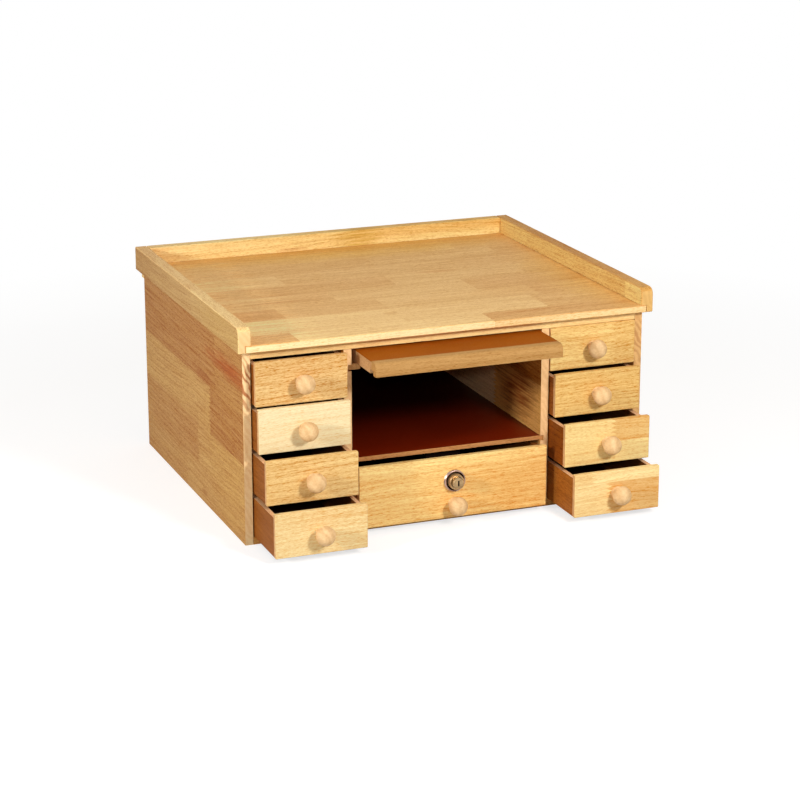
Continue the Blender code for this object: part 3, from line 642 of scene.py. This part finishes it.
BACK_RAIL_PATCHES = (
    ((0.035, 0.234), (0.035, 0.025), (229, 214, 170), 1.0),
    ((-0.05, 0.226), (0.02, 0.002), (220, 180, 150), 0.7),
    ((0.2, 0.2445), (0.26, 0.022), (246, 232, 202), 1.0),
    ((-0.23, 0.235), (0.06, 0.03), (250, 240, 238), 1.0),
    # Lighter along the rail's lower edge on the right: painted light against the shade there
    ((0.17, 0.2255), (0.12, 0.009), (260, 278, 298), 1.0),
)


def dress_panels():
    """Sides, partitions, bottom and inner top of the case, with end grain at the front."""
    side = dict(light=(207, 160, 93), dark=(171, 110, 49), figure=0.8, fingers=True)
    left = wood("left_side_wood", "Y", 4.0, rows=LEFT_SIDE_ROWS, patches=LEFT_SIDE_PATCHES, **side)
    right = wood("right_side_wood", "Y", 9.0, rows=RIGHT_SIDE_ROWS, **side)
    dress("left_side", left)
    dress("right_side", right)
    left_end = end_grain("left_side_end", (255, 225, 171), (234, 189, 130), 0.8)
    right_end = end_grain("right_side_end", (236, 190, 126), (204, 152, 92), 0.3)
    dress_faces("left_side", left_end, faces_front)
    dress_faces("right_side", right_end, faces_front)

    inner = dict(light=(228, 190, 146), dark=(192, 146, 102), warm=(252, 222, 150), figure=0.6,
                 rows=PARTITION_ROWS, fingers=True)
    dress("left_partition", wood("left_partition_wood", "Y", 2.0, **inner))
    # The right partition carries the painted shadow of the tray
    painted_shadow_wood = wood("right_partition_wood", "Y", 6.0, patches=RIGHT_PARTITION_SHADOW, **inner)
    dress("right_partition", painted_shadow_wood)
    edge = end_grain("partition_end", (250, 206, 150), (222, 172, 116))
    for name in ("left_partition", "right_partition"):
        dress_faces(name, edge, faces_front)

    dress("bottom_panel", wood("bottom_wood", "XY", 3.0, (224, 168, 92), (188, 126, 62), rows=WORKTOP_ROWS))
    top = wood("case_top_wood", "XY", 5.0, (252, 222, 154), (240, 196, 126), width=0.06, length=0.2)
    dress("case_top", top)


def dress_worktop():
    """Worktop of staves with a paler front edge, and rails with painted shade and light on some faces."""
    board = wood("worktop_wood", "XY", 7.0, (246, 204, 137), (214, 154, 84), figure=0.4,
                 rows=WORKTOP_ROWS, patches=WORKTOP_PATCHES)
    lipping = wood("worktop_edge_wood", "XY", 17.0, (253, 227, 171), (234, 195, 131), figure=0.3,
                   rows=WORKTOP_EDGE_ROWS)
    dress("worktop", board)
    dress_faces("worktop", lipping, faces_front)

    left = wood("left_rail_wood", "Y", 3.0, (252, 217, 150), (220, 168, 103), rows=LEFT_RAIL_ROWS)
    # Painted shade: a darker copy of the rail's wood on its outer face
    left_rail_shaded = wood("left_rail_outside_painted_shade", "Y", 3.0, (211, 172, 110), (180, 129, 70),
                        rows=LEFT_RAIL_ROWS, patches=LEFT_RAIL_PATCHES)
    dress("left_rail", left)
    dress_faces("left_rail", left_rail_shaded, faces_left)
    dress_faces("left_rail", end_grain("left_rail_end", (250, 212, 155), (233, 184, 121)), faces_front)

    right = wood("right_rail_wood", "Y", 8.0, (222, 170, 94), (192, 128, 60), rows=RIGHT_RAIL_ROWS)
    # Painted light: a lighter copy of the rail's wood on its inner face
    right_rail_lit = wood("right_rail_inside_painted_light", "Y", 8.0, (246, 219, 140), (214, 166, 92),
                        rows=RIGHT_RAIL_ROWS)
    dress("right_rail", right)
    dress_faces("right_rail", right_rail_lit, faces_left)
    dress_faces("right_rail", end_grain("right_rail_end", (230, 186, 116), (206, 156, 88)), faces_front)

    back = wood("back_rail_wood", "X", 5.0, (250, 221, 152), (221, 174, 97), figure=0.7,
                rows=BACK_RAIL_ROWS, patches=BACK_RAIL_PATCHES)
    dress("back_rail", back)


def dress_inside():
    """Shelf and back panel with painted shade, tray runners, and the lock's strike in painted shade."""
    # Painted shade: the shelf darkens towards the back of the cavity
    shelf = hardboard("shelf_board", (132, 36, 5), (100, 20, 2), 0.3, 0.1, (-0.19, -0.02, 0.15))
    lip = wood("shelf_edge", "XY", 1.0, (202, 144, 88), (168, 108, 58), figure=0.2)
    dress("centre_shelf", shelf)
    dress_faces("centre_shelf", lip, faces_front)
    dress("back_panel", hardboard("back_board", (122, 72, 42), (92, 50, 26), 0.5, 0.1))
    # Painted shade: the back panel's face towards the cavity is near black
    shaded = hardboard("back_board_inside_painted_shade", (44, 18, 10), (26, 10, 6), 0.6, 0.05)
    dress_faces("back_panel", shaded, faces_front)
    strip = dict(light=(206, 154, 96), dark=(166, 110, 60), figure=0.3)
    dress("tray_runner_left", wood("runner_left_wood", "Y", 2.0, **strip))
    dress("tray_runner_right", wood("runner_right_wood", "Y", 4.0, **strip))
    # Painted shade: the strike, seen through the gap at the centre drawer, is near black
    dress("lock_strike", hardboard("strike_painted_shade", (26, 12, 8), (16, 8, 5), 0.6, 0.05))


# Part of the nosing's height that its darker lower half takes, darker as painted shade
NOSING_SHADE = 0.4


def dress_tray():
    dress("tray_board", wood("tray_board_wood", "XY", 11.0, (212, 172, 122), (178, 132, 84), figure=0.8))
    low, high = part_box("tray_nosing")
    limit = low.z + NOSING_SHADE * (high.z - low.z)
    # The lower row is darker as painted shade
    rows = ((limit, ((-0.2, -0.4, 0.0),)), (0.5, ((-0.2, 0.05, 0.0),)))
    nosing = wood("nosing_wood", "X", 12.0, (195, 150, 91), (168, 120, 64), figure=0.1, fleck=0.9,
                  rows=rows)
    dress("tray_nosing", nosing)
    dress("tray_sheet", hardboard("tray_sheet_board", (172, 94, 17), (146, 70, 8), 0.5, 0.05))


# Lighter and darker colour, seed, figure and fleck of each drawer front
FRONT_LOOKS = {
    "drawer_left_1": ((238, 207, 146), (207, 152, 83), 21.0, 0.7, 1.0),
    "drawer_left_2": ((250, 244, 202), (236, 207, 148), 22.0, 0.4, 0.75),
    "drawer_left_3": ((249, 226, 161), (219, 170, 96), 23.0, 0.9, 0.95),
    "drawer_left_4": ((250, 235, 178), (233, 190, 120), 24.0, 0.7, 1.0),
    "drawer_right_1": ((240, 208, 136), (214, 157, 80), 31.0, 0.8, 1.0),
    "drawer_right_2": ((236, 200, 127), (210, 150, 72), 32.0, 0.9, 1.1),
    "drawer_right_3": ((243, 217, 149), (224, 171, 97), 33.0, 0.7, 0.85),
    "drawer_right_4": ((245, 214, 150), (223, 165, 91), 34.0, 0.7, 0.7),
    "centre_drawer": ((254, 222, 147), (235, 172, 91), 41.0, 0.8, 1.0),
}
# Fronts glued up from more than one stave: row limit above the lower edge, then start, shade and warmth
FRONT_ROWS = {
    "drawer_right_1": ((0.06, ((0.1, 0.05, 0.0), (0.201, -0.15, 0.04))),),
    "drawer_right_3": ((0.024, ((0.1, 0.1, 0.0),)), (0.06, ((0.1, 0.1, 0.0), (0.183, -0.4, 0.12)))),
    "drawer_right_4": ((0.036, ((0.1, 0.25, 0.0), (0.166, -0.45, 0.06))),
                       (0.06, ((0.1, 0.0, 0.0), (0.148, 0.4, 0.0)))),
    "centre_drawer": ((0.06, ((-0.2, -0.05, 0.03),)), (0.1, ((-0.2, 0.25, 0.0),))),
}
# Darker patches of a front: middle in X and above the lower edge, reach, tint and strength
FRONT_PATCHES = {
    "centre_drawer": (((0.09, 0.03), (0.11, 0.045), (240, 222, 202), 0.9),),
}
# Lighter and darker colour of the drawers' sides, and how far their seeds are from the fronts'
# The sides are browner than the fronts, partly as their own wood and partly as painted shade
SIDE_LOOKS = {
    "all": ((160, 94, 36), (120, 64, 20)),
    "drawer_right_3": ((156, 84, 24), (116, 56, 14)),
    "drawer_right_4": ((177, 108, 40), (133, 74, 23)),
}
SIDE_SEED = 40.0


def dress_drawers():
    """Fronts, knobs, bottoms and boxes of the drawers; the centre drawer's box has three boards."""
    # Drawer bottoms: a dark brown board, partly its own colour and partly painted shade
    inside = hardboard("drawer_bottom_board", (62, 32, 18), (42, 20, 10), 0.55, 0.05)
    knob = turned("knob_turned", (240, 202, 150), (208, 160, 104))
    end = end_grain("front_end", (232, 184, 130), (202, 150, 98))
    edge = wood("drawer_edge_wood", "Y", 62.0, (240, 190, 142), (206, 148, 96), figure=0.2)
    # Painted shade: a darker copy of the box wood on the faces inside the boxes
    inside_shade = wood("drawer_inside_painted_shade", "Y", 63.0, (116, 66, 28), (84, 44, 16), figure=0.3)
    for name, (light, dark, seed, figure, fleck) in FRONT_LOOKS.items():
        low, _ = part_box(name + "_front")
        rows = [(low.z + limit, staves) for limit, staves in FRONT_ROWS.get(name, ())]
        patches = [((x, low.z + z), *rest) for (x, z), *rest in FRONT_PATCHES.get(name, ())]
        front = wood(name + "_front_wood", "X", seed, light, dark, figure=figure, fleck=fleck, rows=rows,
                     fingers=bool(rows), patches=patches)
        dress(name + "_front", front)
        dress_faces(name + "_front", end, faces_left)
        dress(name + "_bottom", inside)
        dress(name + "_knob", knob)
        looks = SIDE_LOOKS.get(name, SIDE_LOOKS["all"])
        side = wood(name + "_side_wood", "Y", seed + SIDE_SEED, *looks, figure=0.4)
        if name == "centre_drawer":
            for part in ("_left_side", "_right_side", "_back"):
                dress(name + part, side)
        else:
            dress(name + "_box", side)
            dress_faces(name + "_box", inside_shade, faces_inside(name + "_box"))
            dress_faces(name + "_box", edge, faces_up)


def dress_lock():
    """Bright rounded flange, groove in painted shade, yellowish sleeve with satin sides, plug, and keyway
    in painted shade.
    """
    low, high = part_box("lock_plug")
    axis = (low + high) / 2
    face_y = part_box("centre_drawer_front")[0].y

    def radius(face):
        return math.hypot(face.center.x - axis.x, face.center.z - axis.z)

    def on_sleeve(face):
        return face.center.y < face_y and radius(face) < LOCK_SLEEVE_RADIUS

    def on_sleeve_side(face):
        return on_sleeve(face) and abs(face.normal.y) < UPRIGHT

    def in_groove(face):
        return face.center.y < face_y and LOCK_SLEEVE_RADIUS < radius(face) < LOCK_RIM_RADIUS

    def in_keyway(face):
        nearest, deepest = KEYWAY_DEPTH
        return nearest < face.center.y - low.y < deepest and radius(face) < KEYWAY_REACH

    middle = (LOCK_RIM_RADIUS + LOCK_FLANGE_RADIUS) / 2
    half = (LOCK_FLANGE_RADIUS - LOCK_RIM_RADIUS) / 2
    chrome = metal("lock_chrome", (198, 172, 160), (140, 112, 100), 0.26, (axis.z, middle, half))
    nickel = metal("lock_nickel", (190, 160, 118), (132, 106, 72), 0.16)
    # Painted shade: the groove round the sleeve and the keyway are near black
    groove = metal("lock_groove_painted_shade", (38, 28, 24), (18, 13, 12), 0.45)
    satin = metal("lock_satin", (220, 184, 136), (170, 136, 94), 0.5)
    zinc = metal("lock_zinc", (190, 190, 186), (150, 148, 142), 0.34)
    dress("lock_body", chrome)
    dress_faces("lock_body", nickel, on_sleeve)
    dress_faces("lock_body", satin, on_sleeve_side)
    dress_faces("lock_body", groove, in_groove)
    dress("lock_plug", nickel)
    dress_faces("lock_plug", groove, in_keyway)
    dress("lock_nut", zinc)
    dress("lock_cam", zinc)


def add_screw(name, place, body):
    """Add a pan-head screw with a cross recess, its head standing out of the place towards +Y."""
    made = bmesh.new()
    rings = []
    for radius, height in SCREW_PROFILE:
        ring = []
        for index in range(SCREW_SIDES):
            angle = 2 * math.pi * index / SCREW_SIDES
            on_cross = radius < SCREW_CROSS and index % (SCREW_SIDES // 4) == 0
            sunk = SCREW_RECESS if on_cross else 0.0
            ring.append(made.verts.new((radius * math.cos(angle), height - sunk, radius * math.sin(angle))))
        rings.append(ring)
    for outer, inner in zip(rings, rings[1:]):
        for index in range(SCREW_SIDES):
            after = (index + 1) % SCREW_SIDES
            made.faces.new((outer[index], outer[after], inner[after], inner[index]))
    made.faces.new(rings[-1])
    made.faces.new(reversed(rings[0]))
    bmesh.ops.recalc_face_normals(made, faces=made.faces)
    mesh = bpy.data.meshes.new(name)
    made.to_mesh(mesh)
    made.free()
    mesh.materials.append(SCREW_METAL)
    screw = bpy.data.objects.new(name, mesh)
    bpy.context.scene.collection.objects.link(screw)
    screw.location = place
    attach(screw, body)


def build_screws():
    """Screws that hold the back panel to the partitions and the bottom, and the cam on its plug."""
    _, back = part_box("back_panel")
    places = []
    for name in ("left_partition", "right_partition"):
        low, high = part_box(name)
        inner = min(low.x, high.x, key=abs)
        middle = inner + math.copysign(PARTITION_THICKNESS / 2, inner)
        places += [(middle, low.z + share * (high.z - low.z)) for share in PARTITION_SCREWS]
    low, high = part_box("bottom_panel")
    places += [(share * high.x, (low.z + high.z) / 2) for share in BOTTOM_SCREWS]
    for number, (x, z) in enumerate(places, 1):
        add_screw(f"back_screw_{number}", (x, back.y, z), "case")
    low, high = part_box("lock_plug")
    add_screw("cam_screw", ((low.x + high.x) / 2, high.y, (low.z + high.z) / 2), "lock")


def shows_white(graph):
    """Return 1 for rays from the camera and from gloss, metal or glass, which see the white background."""
    path = graph.add("ShaderNodeLightPath").outputs
    direct = graph.math('MAXIMUM', path["Is Camera Ray"], path["Is Glossy Ray"])
    return graph.math('MAXIMUM', direct, path["Is Transmission Ray"])


def build_floor():
    """White floor that keeps the shadow and fades into the white surround."""
    mesh = bpy.data.meshes.new("floor")
    corners = [(-FLOOR_REACH, -FLOOR_REACH, 0), (FLOOR_REACH, -FLOOR_REACH, 0),
               (FLOOR_REACH, FLOOR_REACH, 0), (-FLOOR_REACH, FLOOR_REACH, 0)]
    mesh.from_pydata(corners, [], [(0, 1, 2, 3)])
    floor = bpy.data.objects.new("floor", mesh)
    bpy.context.scene.collection.objects.link(floor)
    material, graph, shader = new_material("floor_white")
    shader.inputs["Base Color"].default_value = (FLOOR_BOUNCE, FLOOR_BOUNCE, FLOOR_BOUNCE, 1.0)
    shader.inputs["Roughness"].default_value = 1.0
    shader.inputs["Specular IOR Level"].default_value = 0.0
    shown = graph.add("ShaderNodeBsdfDiffuse", {"Color": (FLOOR_SHARE, FLOOR_SHARE, FLOOR_SHARE, 1.0)})
    glow = graph.add("ShaderNodeEmission", {"Color": WHITE, "Strength": FLOOR_GLOW})
    near = graph.add("ShaderNodeAddShader", {0: shown.outputs[0], 1: glow.outputs[0]})
    far = graph.add("ShaderNodeEmission", {"Color": WHITE, "Strength": 1.0})
    place = graph.add("ShaderNodeNewGeometry").outputs["Position"]
    fade = graph.ramp(graph.vector('LENGTH', place)["Value"], *FLOOR_FADE)
    seen = graph.add("ShaderNodeMixShader", {0: fade, 1: near.outputs[0], 2: far.outputs[0]})
    sides = {0: shows_white(graph), 1: shader.outputs[0], 2: seen.outputs[0]}
    mixed = graph.add("ShaderNodeMixShader", sides)
    graph.feed(material.node_tree.nodes["Material Output"].inputs["Surface"], mixed.outputs[0])
    mesh.materials.append(material)


def build_world():
    """Surround that lights the object most from one way, and is white where it is seen."""
    world = bpy.data.worlds.new("studio")
    bpy.context.scene.world = world
    world.use_nodes = True
    graph = Graph(world.node_tree)
    background = world.node_tree.nodes["Background"]
    seen = shows_white(graph)
    place = graph.add("ShaderNodeTexCoord").outputs["Generated"]
    way = graph.vector('DOT_PRODUCT', place, WORLD_WAY)["Value"]
    level = graph.plus(graph.ramp(way, *WORLD_TURN), WORLD_GAIN, WORLD_LOW)
    graph.feed(background.inputs["Color"], graph.mix(seen, WORLD_COLOUR, WHITE))
    graph.feed(background.inputs["Strength"], graph.math('MAXIMUM', level, seen))


def build_lights():
    for name, place, size, power in LIGHTS:
        lamp = bpy.data.lights.new(name, 'AREA')
        lamp.shape = 'DISK'
        lamp.size = size
        lamp.energy = power
        light = bpy.data.objects.new(name, lamp)
        bpy.context.scene.collection.objects.link(light)
        light.location = place
        light.rotation_euler = (Vector(LIGHT_TARGET) - Vector(place)).to_track_quat('-Z', 'Y').to_euler()


def build_camera():
    data = bpy.data.cameras.new("camera")
    data.sensor_width = CAMERA_SENSOR
    data.sensor_fit = 'HORIZONTAL'
    data.lens = CAMERA_LENS
    data.shift_x, data.shift_y = CAMERA_SHIFT
    camera = bpy.data.objects.new("camera", data)
    bpy.context.scene.collection.objects.link(camera)
    turn = Vector(CAMERA_WAY).to_track_quat('-Z', 'Y').to_matrix().to_4x4()
    roll = Matrix.Rotation(math.radians(CAMERA_ROLL), 4, 'Z')
    camera.matrix_world = Matrix.Translation(CAMERA_PLACE) @ turn @ roll
    bpy.context.scene.camera = camera


bpy.context.scene.view_settings.view_transform = 'Standard'
dress_panels()
dress_worktop()
dress_inside()
dress_tray()
dress_drawers()
dress_lock()
build_screws()
build_floor()
build_world()
build_lights()
build_camera()

bpy.context.view_layer.update()
